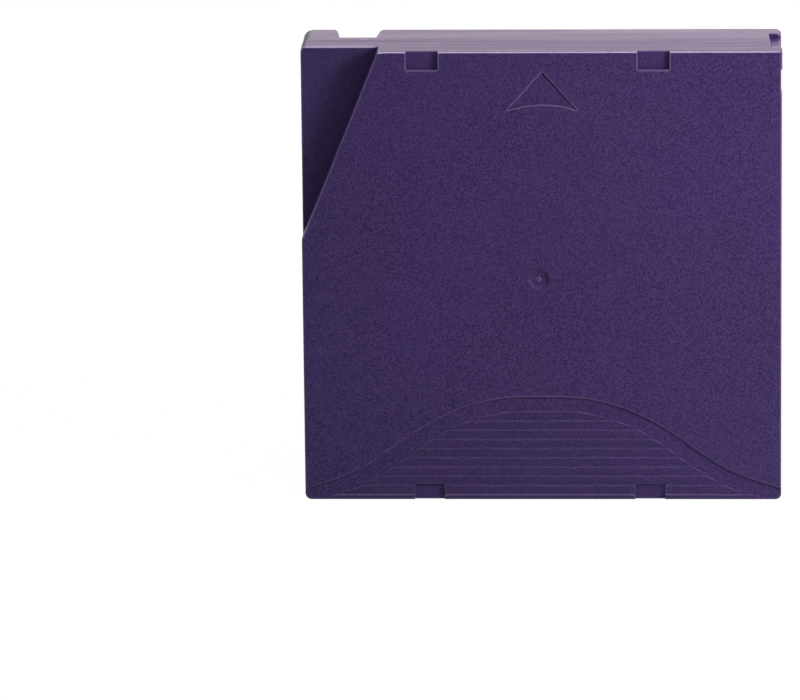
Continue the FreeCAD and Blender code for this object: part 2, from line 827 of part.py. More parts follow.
def brake_tooth(root_y, towards):
    return radial_tooth(brake_tooth_base, brake_tooth_tip, brake_tooth_height,
                        brake_tooth_inner_radius + brake_tooth_end_inset,
                        brake_tooth_outer_radius - brake_tooth_end_inset, root_y, towards)


def brake_wall():
    """Wall in the hub that carries its brake teeth, with gaps for the release pad's arms."""
    wall = tube(brake_tooth_outer_radius, brake_tooth_inner_radius, brake_wall_y, hub_floor_y, reel_x, reel_z)
    gaps = [sector(angle, pad_gap_half_angle, 2 * hub_radius, brake_wall_y, hub_floor_y, reel_x, reel_z)
            for angle in pad_arm_angles]
    return without(wall, gaps)


def reel_hub():
    """Hub and lower flange in one moulding, with the drive gear and the brake's teeth."""
    flange = disc(flange_radius, flange_bottom_y, reel_under_y, reel_x, reel_z)
    hub = disc(hub_radius, flange_top_y, reel_under_y, reel_x, reel_z)
    cavity = disc(hub_cavity_radius, flange_top_y, hub_floor_y, reel_x, reel_z)
    body = flange.fuse(hub).cut(cavity)
    gear_tooth = radial_tooth(gear_tooth_base, gear_tooth_tip, gear_tooth_height,
                              gear_inner_radius, gear_outer_radius, reel_under_y, 1)
    half_pitch = 180 / brake_teeth
    teeth = tooth_ring(gear_tooth, gear_teeth, 0, lambda angle: False)
    teeth += tooth_ring(brake_tooth(brake_wall_y, -1), brake_teeth, half_pitch, arm_gap_near)
    body = joined(body, [brake_wall()] + teeth)
    hole_radius = pad_foot_radius + pad_hole_clearance
    cuts = [disc(hole_radius, hub_floor_y - pad_hole_clearance, hub_y, x, z) for x, z in foot_places()]
    cuts.append(disc(plate_radius + plate_fit, reel_under_y - plate_sunk, hub_y, reel_x, reel_z))
    return without(body, cuts).removeSplitter()


def foot_places():
    places = []
    for angle in pad_arm_angles:
        turn = math.radians(angle)
        places.append((reel_x + pad_foot_circle * math.cos(turn), reel_z + pad_foot_circle * math.sin(turn)))
    return places


def reel_upper_flange():
    """Ring flange that is welded flat on the top of the hub."""
    y0 = flange_top_y - flange_thickness
    return tube(flange_radius, hub_cavity_radius, y0, flange_top_y, reel_x, reel_z)


def reel_plate():
    """Steel clutch plate sunk into the underside of the hub."""
    top_y = reel_under_y - plate_sunk
    return tube(plate_radius, plate_hole_radius, top_y, top_y + plate_thickness, reel_x, reel_z)


def tape_pack():
    y0 = tape_centre_y - tape_width / 2
    return tube(pack_radius, hub_radius + wound_fit, y0, y0 + tape_width, reel_x, reel_z)


def tape_lead():
    """Free end of the tape, from the outer turn to the leader pin's underside."""
    y0 = tape_centre_y - tape_width / 2
    end = vec(pin_x, 0, pin_z - pin_shaft_radius - lead_pin_fit - lead_thickness / 2)
    centre = vec(reel_x, 0, reel_z)
    radius = pack_radius + lead_pack_gap + lead_thickness
    away = end - centre
    spread = math.acos(radius / away.Length)
    angle = math.atan2(away.z, away.x) - spread
    start = centre + vec(math.cos(angle), 0, math.sin(angle)) * radius
    run = (end - start).normalize()
    side = vec(-run.z, 0, run.x) * (lead_thickness / 2)
    ring = [start - side, end - side, end + side, start + side]
    return prism([(p.x, p.z, 0) for p in ring], y0, y0 + tape_width)


def brake_button():
    """Toothed disc that locks the reel, kept from turning by the cross key in its collar."""
    plate = disc(brake_tooth_outer_radius, brake_top_y, brake_root_y, reel_x, reel_z)
    collar = disc(brake_collar_radius, brake_top_y - brake_collar_height, brake_top_y, reel_x, reel_z)
    dome_y = pad_top_y - pad_gap - pad_rise()
    dome = disc(pad_boss_radius - pad_gap, brake_root_y, dome_y, reel_x, reel_z)
    teeth = tooth_ring(brake_tooth(brake_root_y, 1), brake_teeth, 0, lambda angle: False)
    slot = cross(key_span + 2 * key_clearance, key_thickness + 2 * key_clearance,
                 brake_top_y - brake_collar_height - reach, brake_top_y, reel_x, reel_z)
    return joined(plate, [collar, dome] + teeth).cut(slot).removeSplitter()


def pad_rise():
    """Height of the boss on the release pad, which stops short of the brake's dome."""
    return (pad_top_y - brake_root_y) / 2


def release_pad():
    """Three-armed pad whose feet come out between the gear teeth and lift the brake."""
    core = disc(pad_core_radius, pad_top_y, hub_floor_y, reel_x, reel_z)
    boss = disc(pad_boss_radius, pad_top_y - pad_rise(), pad_top_y, reel_x, reel_z)
    foot_y = reel_under_y + gear_tooth_height - pad_foot_inset
    added = [boss]
    for angle, (x, z) in zip(pad_arm_angles, foot_places()):
        half = pad_arm_width / 2
        arm = block(0, pad_foot_circle + half, pad_top_y, hub_floor_y, -half, half)
        arm.rotate(vec(0, 0, 0), vec(0, -1, 0), angle)
        arm.translate(vec(reel_x, 0, reel_z))
        added.append(arm)
        added.append(flat_sided(pad_foot_radius, hub_floor_y, foot_y, x, z))
    return joined(core, added).removeSplitter()


def wire_section(radius, wire, angle, height):
    """Corners of a coil's wire in the plane through the axis at an angle."""
    corners = []
    for i in range(wire_sides):
        turn = 2 * math.pi * i / wire_sides
        out = radius + wire / 2 * math.cos(turn)
        corners.append(vec(out * math.cos(angle), out * math.sin(angle), height + wire / 2 * math.sin(turn)))
    return corners


def flat_face(corners):
    return Part.Face(Part.makePolygon(corners + corners[:1]))


def stitched(sections):
    """Solid through a run of sections with as many corners each, its sides flat triangles."""
    faces = [flat_face(sections[0]), flat_face(sections[-1])]
    for near, far in zip(sections, sections[1:]):
        for i in range(len(near)):
            faces.append(flat_face([near[i - 1], near[i], far[i]]))
            faces.append(flat_face([near[i - 1], far[i], far[i - 1]]))
    solid = Part.Solid(Part.Shell(faces))
    solid.fix(0, 0, 0)
    return solid


def coil(radius, wire, length, turns):
    """Coil spring along +Z from the origin, its wire's ends inside the length."""
    bends = turns * wire_bends_per_turn
    rise = (length - wire) / bends
    sections = []
    for i in range(bends + 1):
        angle = 2 * math.pi * i / wire_bends_per_turn
        sections.append(wire_section(radius, wire, angle, wire / 2 + i * rise))
    return stitched(sections)


def brake_spring():
    start_y = ceiling_y + brake_spring_end_gap
    length = brake_top_y - brake_spring_end_gap - start_y
    spring = coil(brake_spring_radius, brake_spring_wire, length, brake_spring_turns)
    spring.rotate(vec(0, 0, 0), vec(1, 0, 0), -90)
    spring.translate(vec(reel_x, start_y, reel_z))
    return spring


def door():
    """Sliding door: a thick head at the leading end, a thin panel and a tail for its spring."""
    panel = block(door_x0, door_x1, ceiling_y + door_cover_overlap, floor_y - door_clearance,
                  door_tail_z, door_panel_lead_z)
    head_x1 = side_x - side_relief - door_head_inset
    head_y0, head_y1 = door_notch_y0 + door_clearance, door_notch_y1 - door_clearance
    head_x0 = door_notch_x + door_head_side_gap
    points = [(head_x0 + door_notch_slant, head_y0), (head_x1, head_y0),
              (head_x1, head_y1), (head_x0, head_y1)]
    head = profile_along_z(points, door_lead_z - door_head_length, door_lead_z)
    tail = Part.makeCylinder(door_tail_radius, door_tail_length,
                             vec(door_spring_x, door_spring_y, door_tail_z - door_tail_length))
    half = door_spring_radius + door_spring_wire
    shoulder = block(door_spring_x - half, door_x1, door_spring_y - half, door_spring_y + half,
                     door_tail_z, door_tail_z + door_thickness)
    return joined(panel, [head, tail, shoulder]).removeSplitter()


def door_spring():
    start_z = door_spring_seat_z + door_spring_end_gap
    length = door_tail_z - door_spring_end_gap - start_z
    spring = coil(door_spring_radius, door_spring_wire, length, door_spring_turns)
    spring.translate(vec(door_spring_x, door_spring_y, start_z))
    return spring


def leader_pin():
    shaft = disc(pin_shaft_radius, pin_y0, pin_y1, pin_x, pin_z)
    ends = [disc(pin_end_radius, pin_y0, pin_y0 + pin_end_thickness, pin_x, pin_z),
            disc(pin_end_radius, pin_y1 - pin_end_thickness, pin_y1, pin_x, pin_z)]
    return joined(shaft, ends).removeSplitter()


def pin_clip():
    """Split sleeve that clamps the tape on the leader pin, open towards the reel."""
    y0 = pin_y0 + pin_end_thickness + clip_end_gap
    y1 = pin_y1 - pin_end_thickness - clip_end_gap
    sleeve = tube(clip_outer_radius, clip_inner_radius, y0, y1, pin_x, pin_z)
    return sleeve.cut(sector(270, clip_half_opening, 4 * clip_outer_radius, y0, y1, pin_x, pin_z))


def strip(corners, thickness, y0, y1):
    """Bent metal strip that follows (x, z) corners, its sheet edge-on to Y."""
    runs = []
    for (x0, z0), (x1, z1) in zip(corners, corners[1:]):
        start, end = vec(x0, y0, z0), vec(x1, y0, z1)
        along = (end - start).normalize()
        side = vec(-along.z, 0, along.x) * (thickness / 2)
        ring = [start - side, end - side, end + side, start + side]
        runs.append(Part.Face(Part.makePolygon(ring + ring[:1])).extrude(vec(0, y1 - y0, 0)))
    bends = [disc(thickness / 2, y0, y1, x, z) for x, z in corners[1:-1]]
    return joined(runs[0], runs[1:] + bends)


def pin_spring():
    """Spring strip on the leading wall, with an arm that rests beside each end of the pin."""
    back_z = inner_lead_z - pin_spring_wall_gap - pin_spring_thickness / 2
    arm_x = pin_x + pin_end_radius + pin_spring_gap + pin_spring_thickness / 2
    start_x = pin_x - pin_spring_reach
    corners = [(start_x, back_z), (arm_x, back_z), (arm_x, pin_z),
               (arm_x - pin_spring_thickness, pin_z - pin_spring_arm_drop)]
    arms = [strip(corners, pin_spring_thickness, pin_y0, pin_y0 + pin_end_thickness),
            strip(corners, pin_spring_thickness, pin_y1 - pin_end_thickness, pin_y1)]
    half = pin_spring_thickness / 2
    back = block(start_x, pin_x - pin_end_radius, pin_y0, pin_y1, back_z - half, back_z + half)
    return joined(back, arms).removeSplitter()


def write_slider():
    """Write-protect slider: a plate behind the trailing wall and a tab in its window."""
    rest_x = switch_window_x - switch_window_length / 2 + slider_tab_clearance
    middle = rest_x + slider_tab_length / 2
    plate = block(middle - slider_length / 2, middle + slider_length / 2, slider_y0, slider_y1,
                  slider_z0, slider_z1)
    half = switch_window_height / 2 - slider_tab_clearance
    tab = block(rest_x, rest_x + slider_tab_length, switch_window_y - half, switch_window_y + half,
                slider_tab_inset, slider_z0)
    body = plate.fuse(tab)
    for i in range(slider_groove_count):
        x = middle + (i - (slider_groove_count - 1) / 2) * 2 * slider_groove_width - slider_groove_width / 2
        body = body.cut(block(x, x + slider_groove_width, switch_window_y - half, switch_window_y + half,
                              -reach, slider_tab_inset + slider_groove_depth))
    return body.removeSplitter()


def memory_chip():
    return slanted_plate(chip_length, chip_width, saddle_gap, chip_thickness)


nodes = {
    "upper_case": upper_case,
    "lower_case": lower_case,
    "case_screws": case_screws,
    "reel_hub": reel_hub,
    "reel_upper_flange": reel_upper_flange,
    "reel_plate": reel_plate,
    "tape_pack": tape_pack,
    "tape_lead": tape_lead,
    "brake_button": brake_button,
    "brake_spring": brake_spring,
    "release_pad": release_pad,
    "door": door,
    "door_spring": door_spring,
    "leader_pin": leader_pin,
    "pin_clip": pin_clip,
    "pin_spring": pin_spring,
    "write_slider": write_slider,
    "memory_chip": memory_chip,
}

os.makedirs("parts", exist_ok=True)
for name, make in nodes.items():
    shape = make()
    shape.exportStep("parts/" + name + ".step")
    print(name, "solids", len(shape.Solids), "faces", len(shape.Faces), "valid", shape.isValid(),
          "volume", round(shape.Volume, 2))
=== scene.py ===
import math
import bpy
from mathutils import Matrix, Vector


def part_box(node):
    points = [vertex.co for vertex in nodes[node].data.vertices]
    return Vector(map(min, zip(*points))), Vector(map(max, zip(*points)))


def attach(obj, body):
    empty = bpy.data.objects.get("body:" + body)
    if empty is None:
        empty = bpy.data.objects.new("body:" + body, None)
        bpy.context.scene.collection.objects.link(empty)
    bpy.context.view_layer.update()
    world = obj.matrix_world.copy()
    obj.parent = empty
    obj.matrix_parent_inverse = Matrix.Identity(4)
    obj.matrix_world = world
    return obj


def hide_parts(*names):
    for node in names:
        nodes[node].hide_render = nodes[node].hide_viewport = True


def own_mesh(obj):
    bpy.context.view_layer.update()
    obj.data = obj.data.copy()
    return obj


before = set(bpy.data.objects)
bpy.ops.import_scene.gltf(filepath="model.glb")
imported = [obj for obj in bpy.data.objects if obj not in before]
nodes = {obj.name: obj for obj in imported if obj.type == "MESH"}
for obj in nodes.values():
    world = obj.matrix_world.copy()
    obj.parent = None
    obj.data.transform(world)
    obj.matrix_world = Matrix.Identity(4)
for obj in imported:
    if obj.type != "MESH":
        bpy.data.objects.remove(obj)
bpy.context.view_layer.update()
mm = 0.001


# The photograph's view
cameraView = {
    "distance": 1.788,               # metres from the middle of the cartridge
    "elevation": 15.16,              # degrees above the horizon
    "azimuth": 1.22,
    "roll": -0.64,
    "lens": 364.0,
    "sensor": 36.0,
    "clip": (0.05, 20.0),
    "middle": (0.0, 0.0, 0.051),
    "aim": (-0.0318, 0.0, 0.0314),   # the cartridge stands to the right and above the picture's middle
}


def placeCamera(view):
    up, turn = math.radians(view["elevation"]), math.radians(view["azimuth"])
    away = Vector((math.sin(turn) * math.cos(up), -math.cos(turn) * math.cos(up), math.sin(up)))
    eye = Vector(view["middle"]) + away * view["distance"]
    forward = (Vector(view["aim"]) - eye).normalized()
    right = forward.cross(Vector((0, 0, 1))).normalized()
    above = right.cross(forward)
    roll = math.radians(view["roll"])
    sideAxis = right * math.cos(roll) + above * math.sin(roll)
    upAxis = above * math.cos(roll) - right * math.sin(roll)
    data = bpy.data.cameras.new("camera")
    data.lens = view["lens"]
    data.sensor_width = view["sensor"]
    data.clip_start, data.clip_end = view["clip"]
    camera = bpy.data.objects.new("camera", data)
    bpy.context.scene.collection.objects.link(camera)
    turnMatrix = Matrix((sideAxis, upAxis, -forward)).transposed().to_4x4()
    camera.matrix_world = Matrix.Translation(eye) @ turnMatrix
    bpy.context.scene.camera = camera


placeCamera(cameraView)
bpy.context.scene.view_settings.view_transform = "Standard"
print("camera placed")


# Shader helpers
def linear(hexColour):
    channels = []
    for i in (1, 3, 5):
        c = int(hexColour[i:i + 2], 16) / 255
        channels.append(c / 12.92 if c <= 0.04045 else ((c + 0.055) / 1.055) ** 2.4)
    return (*channels, 1.0)


def addNode(tree, kind, values=None, links=None, **settings):
    node = tree.nodes.new(kind)
    for name, value in settings.items():
        setattr(node, name, value)
    for socket, value in (values or {}).items():
        node.inputs[socket].default_value = value
    for socket, source in (links or {}).items():
        tree.links.new(source, node.inputs[socket])
    return node


def calculate(tree, operation, first, second=0.0):      # first is an output, second an output or a number
    values, links = {}, {0: first}
    if isinstance(second, (int, float)):
        values[1] = second
    else:
        links[1] = second
    return addNode(tree, "ShaderNodeMath", values, links, operation=operation).outputs[0]


def remap(tree, source, given=(0.0, 1.0), wanted=(0.0, 1.0)):
    values = {1: given[0], 2: given[1], 3: wanted[0], 4: wanted[1]}
    return addNode(tree, "ShaderNodeMapRange", values, {0: source}).outputs[0]


def blendColours(tree, amount, first, second):
    values, links = {}, {0: amount}
    for socket, colour in ((6, first), (7, second)):
        if isinstance(colour, str):
            values[socket] = linear(colour)
        else:
            links[socket] = colour
    return addNode(tree, "ShaderNodeMix", values, links, data_type="RGBA").outputs[2]


def blendToward(tree, amount, first, number):
    return addNode(tree, "ShaderNodeMix", {3: number}, {0: amount, 2: first}).outputs[0]


def noise(tree, place, sizeMm, detail):
    return addNode(tree, "ShaderNodeTexNoise", {"Scale": 1000 / sizeMm, "Detail": detail},
                   {"Vector": place}).outputs["Fac"]


def lineNoise(tree, distance, sizeMm, detail):
    return addNode(tree, "ShaderNodeTexNoise", {"Scale": 1000 / sizeMm, "Detail": detail},
                   {"W": distance}, noise_dimensions="1D").outputs["Fac"]


def objectPlace(tree):
    return addNode(tree, "ShaderNodeTexCoord").outputs["Object"]


def separate(tree, vector):
    return addNode(tree, "ShaderNodeSeparateXYZ", {}, {0: vector}).outputs


def roundedBump(tree, height, look):
    edge = addNode(tree, "ShaderNodeBevel", {"Radius": look["roundMm"] * mm}, samples=8).outputs[0]
    values = {"Strength": look["bump"], "Distance": look["bumpMm"] * mm}
    return addNode(tree, "ShaderNodeBump", values, {"Height": height, "Normal": edge}).outputs[0]


def newMaterial(name):
    material = bpy.data.materials.new(name)
    material.use_nodes = True
    tree = material.node_tree
    tree.nodes.clear()
    return material, tree


def finishMaterial(material, tree, shader):
    output = addNode(tree, "ShaderNodeOutputMaterial")
    tree.links.new(shader.outputs[0], output.inputs["Surface"])
    return material


def dress(name, material):
    thing = nodes[name]
    thing.data.materials.clear()
    thing.data.materials.append(material)


# The shell's bevels, found by the way a face looks and by its place
bevelPlaces = {
    "slantedFrom": (0.55, 0.65),     # a face slanted by 45 degrees has 0.71 of its normal along the thickness
    "slantedTo": (0.76, 0.86),
    "level": (0.9, 0.95),            # the marked face and the guide's floor have all of it
    "rimMm": (1.0, 1.2),             # band along the outline
    "floorEdgeMm": (0.35, 0.5),      # band under the leading wall
    "guideMm": (18.0, 18.2),         # the guide's reach from the left side
}


def bevelMasks(tree, place, look):
    facing = addNode(tree, "ShaderNodeNewGeometry").outputs["True Normal"]
    tilt = calculate(tree, "ABSOLUTE", separate(tree, facing)[1])
    slanted = calculate(tree, "MULTIPLY", remap(tree, tilt, look["slantedFrom"]),
                        remap(tree, tilt, look["slantedTo"], (1.0, 0.0)))
    low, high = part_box("upper_case")
    spot = separate(tree, place)
    narrow, wide = [value * mm for value in look["rimMm"]]
    bands = [remap(tree, spot[axis], (low[axis] + narrow, low[axis] + wide), (1.0, 0.0)) for axis in (0, 2)]
    bands += [remap(tree, spot[axis], (high[axis] - wide, high[axis] - narrow)) for axis in (0, 2)]
    outline = bands[0]
    for band in bands[1:]:
        outline = calculate(tree, "MAXIMUM", outline, band)
    rim = calculate(tree, "MULTIPLY", slanted, outline)
    # band along the leading edge of the guide's floor, which carries a painted highlight and a smooth finish
    narrow, wide = [value * mm for value in look["floorEdgeMm"]]
    floorEdge = calculate(tree, "MULTIPLY", remap(tree, tilt, look["level"]),
                          remap(tree, spot[2], (high[2] - wide, high[2] - narrow)))
    reach = [low[0] + value * mm for value in look["guideMm"]]
    floorEdge = calculate(tree, "MULTIPLY", floorEdge, remap(tree, spot[0], reach, (1.0, 0.0)))
    return slanted, rim, floorEdge


# convex edges, found by occlusion from within the wall; the shell paints its edge highlight along them
def outerEdge(tree, look):
    inside = addNode(tree, "ShaderNodeAmbientOcclusion", {"Distance": look["edgeMm"] * mm}, inside=True,
                     samples=8)
    return remap(tree, inside.outputs["AO"], look["edgeShade"])


# Injection-moulded ABS with a spark-eroded grain: deep purple, mottled by the grain, with a painted highlight as
# a paler tone along its raised edges, its outline's bevels and the guide floor's leading edge
shellLook = {
    "deep": "#2a1b49",
    "body": "#2d1f50",
    "cloudMm": 30.0,
    "cloud": (0.35, 0.65),
    "pale": "#453661",
    "mottleMm": 0.34,                # the grain, drawn about as coarse as it shows from a step away
    "mottle": (0.36, 0.68),
    "grainMm": 0.3,
    "roughness": (0.40, 0.55),
    "grain": (0.3, 0.7),
    "bump": 0.5,
    "bumpMm": 0.02,
    "roundMm": 0.2,
    "streakMm": 1.1,                 # flow lines along the leading wall
    "streakStretch": (0.02, 1.0, 0.02),
    "streakShine": (-0.06, 0.06),
    # painted highlight: the paler tone laid on raised edges and on the outline's bevels
    "edge": "#7d6c92",
    "edgeMm": 0.55,
    "edgeShade": (0.85, 0.55),       # occlusion within the wall where an edge begins and where it is full
    "paintedEdgeHighlightShare": (0.28, 0.7),        # share of the painted edge highlight: weaker on the grip's edges, stronger on the others
    # below this height the painted edge highlight takes the grip's lower share
    "gripHeightMm": (22.0, 24.0),
    # share of the painted highlight on the outline's bevels
    "paintedRimHighlightShare": 0.3,
    "paintedFloorEdgeHighlight": "#c4b4d4",             # painted highlight along the sharp leading edge of the guide's floor
    "slantRoughness": 0.7,           # the grip's slanted steps are grained more coarsely
    "rimRoughness": 0.22,            # the outline's bevels are left smooth in the mould, without grain
    "ior": 1.53,
    "specular": 0.11,                # the grain swallows most of what a smooth wall would mirror
}


def mouldedAbs(name, look):
    material, tree = newMaterial(name)
    place = objectPlace(tree)
    cloud = noise(tree, place, look["cloudMm"], 2.0)
    mottle = noise(tree, place, look["mottleMm"], 2.0)
    grain = noise(tree, place, look["grainMm"], 2.0)
    tone = blendColours(tree, remap(tree, cloud, look["cloud"]), look["deep"], look["body"])
    tone = blendColours(tree, remap(tree, mottle, look["mottle"]), tone, look["pale"])

    slanted, rim, floorEdge = bevelMasks(tree, place, bevelPlaces)
    # painted highlight: a paler tone on raised edges (weaker on the grip), on the outline's bevels and on the
    # leading edge of the guide's floor
    gripHeight = [value * mm for value in look["gripHeightMm"]]
    share = remap(tree, separate(tree, place)[2], gripHeight, look["paintedEdgeHighlightShare"])
    share = calculate(tree, "MULTIPLY", remap(tree, slanted, wanted=(1.0, 0.0)), share)
    edge = calculate(tree, "MULTIPLY", outerEdge(tree, look), share)
    edge = calculate(tree, "MAXIMUM", edge, calculate(tree, "MULTIPLY", rim, look["paintedRimHighlightShare"]))
    tone = blendColours(tree, edge, tone, look["edge"])
    tone = blendColours(tree, floorEdge, tone, look["paintedFloorEdgeHighlight"])

    flow = addNode(tree, "ShaderNodeMapping", {"Scale": look["streakStretch"]}, {"Vector": place}).outputs[0]
    streaks = noise(tree, flow, look["streakMm"], 3.0)
    shine = calculate(tree, "ADD", remap(tree, grain, look["grain"], look["roughness"]),
                      remap(tree, streaks, look["grain"], look["streakShine"]))
    shine = blendToward(tree, slanted, shine, look["slantRoughness"])
    shine = blendToward(tree, calculate(tree, "MAXIMUM", rim, floorEdge), shine, look["rimRoughness"])
    values = {"IOR": look["ior"], "Specular IOR Level": look["specular"]}
    shader = addNode(tree, "ShaderNodeBsdfPrincipled", values,
                     {"Base Color": tone, "Roughness": shine, "Normal": roundedBump(tree, grain, look)})
    return finishMaterial(material, tree, shader)


upperLook = dict(shellLook, roughness=(0.40, 0.52))
lowerLook = dict(shellLook, roughness=(0.34, 0.48))
doorLook = dict(shellLook, deep="#35265a", body="#3f2f66", pale="#53437a")
dress("upper_case", mouldedAbs("mouldedAbsPurpleUpper", upperLook))
dress("lower_case", mouldedAbs("mouldedAbsPurpleLower", lowerLook))
dress("door", mouldedAbs("mouldedAbsPurpleDoor", doorLook))       # a lighter batch of the same purple
print("shell dressed")


# Smooth mouldings inside: a plain tone with a slight cloud and a waxy sheen
moulding = {
    "fineMm": 0.5,
    "sheen": (-0.05, 0.08),          # roughness round the piece's own
    "bump": 0.3,
    "bumpMm": 0.01,
    "roundMm": 0.12,
    "ior": 1.5,
}
hubLook = dict(moulding, tone="#d5d5cf", shade="#bdbdb6", cloudMm=9.0, roughness=0.42)
padLook = dict(moulding, tone="#e2e1da", shade="#cfcec6", cloudMm=5.0, roughness=0.30)
brakeLook = dict(moulding, tone="#1d1d20", shade="#141417", cloudMm=5.0, roughness=0.33)
sliderLook = dict(moulding, tone="#a8241f", shade="#8d1c19", cloudMm=3.0, roughness=0.40)
chipLook = dict(moulding, tone="#17191a", shade="#0e1010", cloudMm=2.0, roughness=0.36, roundMm=0.08)


def smoothMoulding(name, look):
    material, tree = newMaterial(name)
    place = objectPlace(tree)
    fine = noise(tree, place, look["fineMm"], 1.0)
    tone = blendColours(tree, noise(tree, place, look["cloudMm"], 4.0), look["shade"], look["tone"])
    shine = remap(tree, fine, wanted=[look["roughness"] + change for change in look["sheen"]])
    shader = addNode(tree, "ShaderNodeBsdfPrincipled", {"IOR": look["ior"]},
                     {"Base Color": tone, "Roughness": shine, "Normal": roundedBump(tree, fine, look)})
    return finishMaterial(material, tree, shader)


hubPlastic = smoothMoulding("naturalPolycarbonate", hubLook)      # pale, slightly milky
blackPlastic = smoothMoulding("blackAcetal", brakeLook)           # dark with a soft shine
dress("reel_hub", hubPlastic)
dress("reel_upper_flange", hubPlastic)
dress("release_pad", smoothMoulding("whiteAcetal", padLook))      # whiter and shinier than the hub
dress("brake_button", blackPlastic)
dress("pin_clip", blackPlastic)
dress("write_slider", smoothMoulding("redAcetal", sliderLook))    # signal red, so that the switch is found
dress("memory_chip", smoothMoulding("blackEpoxyCapsule", chipLook))     # dull black with softened edges
print("inner mouldings dressed")


def axisDistance(tree, place, centre):
    parts = separate(tree, place)
    across = calculate(tree, "SUBTRACT", parts[0], centre[0])
    along = calculate(tree, "SUBTRACT", parts[2], centre[2])
    flat = addNode(tree, "ShaderNodeCombineXYZ", {}, {0: across, 1: along})
    return addNode(tree, "ShaderNodeVectorMath", {}, {0: flat.outputs[0]}, operation="LENGTH").outputs["Value"]


def centreOf(name):
    low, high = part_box(name)
    return [(a + b) / 2 for a, b in zip(low, high)]


# Steel with fine turned or drawn lines: grey, streaked by them, with a narrow highlight along each edge
steel = {"cloudMm": 4.0, "bump": 0.25, "bumpMm": 0.01, "roundMm": 0.1}
turnedLook = dict(steel, tone="#b8b6b1", shade="#98969a", lineMm=0.25, roughness=(0.22, 0.38))
wireLook = dict(steel, tone="#a9a8a6", shade="#87868a", lineMm=0.5, roughness=(0.25, 0.40))
screwLook = dict(steel, tone="#55555b", shade="#3a3a40", lineMm=0.3, roughness=(0.30, 0.45))


def linedSteel(name, look, centre=(0.0, 0.0, 0.0)):
    material, tree = newMaterial(name)
    place = objectPlace(tree)
    lines = lineNoise(tree, axisDistance(tree, place, centre), look["lineMm"], 3.0)
    tone = blendColours(tree, noise(tree, place, look["cloudMm"], 3.0), look["shade"], look["tone"])
    shine = remap(tree, lines, wanted=look["roughness"])
    shader = addNode(tree, "ShaderNodeBsdfPrincipled", {"Metallic": 1.0},
                     {"Base Color": tone, "Roughness": shine, "Normal": roundedBump(tree, lines, look)})
    return finishMaterial(material, tree, shader)


springSteel = linedSteel("drawnSpringSteel", wireLook)            # grey wire with a soft shine
plateSteel = linedSteel("turnedStainlessSteel", turnedLook, centreOf("reel_plate"))    # rings round its hole
pinSteel = linedSteel("turnedPinSteel", turnedLook, centreOf("leader_pin"))            # rings on the end discs
dress("reel_plate", plateSteel)
dress("leader_pin", pinSteel)
dress("pin_spring", springSteel)
dress("case_screws", linedSteel("blackenedScrewSteel", screwLook))      # dark heads deep in their wells
print("steel dressed")


# Wound polyester film: nearly black brown, glossy, with a fine line for each turn
tapeLook = {"tone": "#2a211c", "shade": "#15100e", "turnMm": 0.35, "roughness": (0.18, 0.32), "ior": 1.55}


def woundFilm(name, look):
    material, tree = newMaterial(name)
    turns = lineNoise(tree, axisDistance(tree, objectPlace(tree), centreOf("tape_pack")), look["turnMm"], 5.0)
    tone = blendColours(tree, turns, look["shade"], look["tone"])
    shine = remap(tree, turns, wanted=look["roughness"])
    shader = addNode(tree, "ShaderNodeBsdfPrincipled", {"IOR": look["ior"]},
                     {"Base Color": tone, "Roughness": shine})
    return finishMaterial(material, tree, shader)


tapeFilm = woundFilm("woundPolyesterFilm", tapeLook)
dress("tape_pack", tapeFilm)
dress("tape_lead", tapeFilm)
print("tape dressed")


# Coil springs of round wire, with closed end turns
doorSpringLook = {"wireMm": 0.4, "turns": 13.0, "endTurns": 1.5, "axis": 2,
                  "joint": "door_slide", "travelMm": 21.0}
brakeSpringLook = {"wireMm": 0.8, "turns": 4.0, "endTurns": 0.8, "axis": 1,
                   "joint": "brake_lift", "travelMm": 1.5}
coilInputs = (("Bends", "Int"), ("Wire", "Float"), ("Radius", "Float"), ("Turns", "Float"),
              ("End Turns", "Float"), ("Rise", "Float"), ("Foot", "Vector"), ("Material", "Material"))
wireCorners = 12
bendsPerTurn = 30


def between(tree, value, limit):
    return calculate(tree, "MINIMUM", calculate(tree, "MAXIMUM", value), limit)


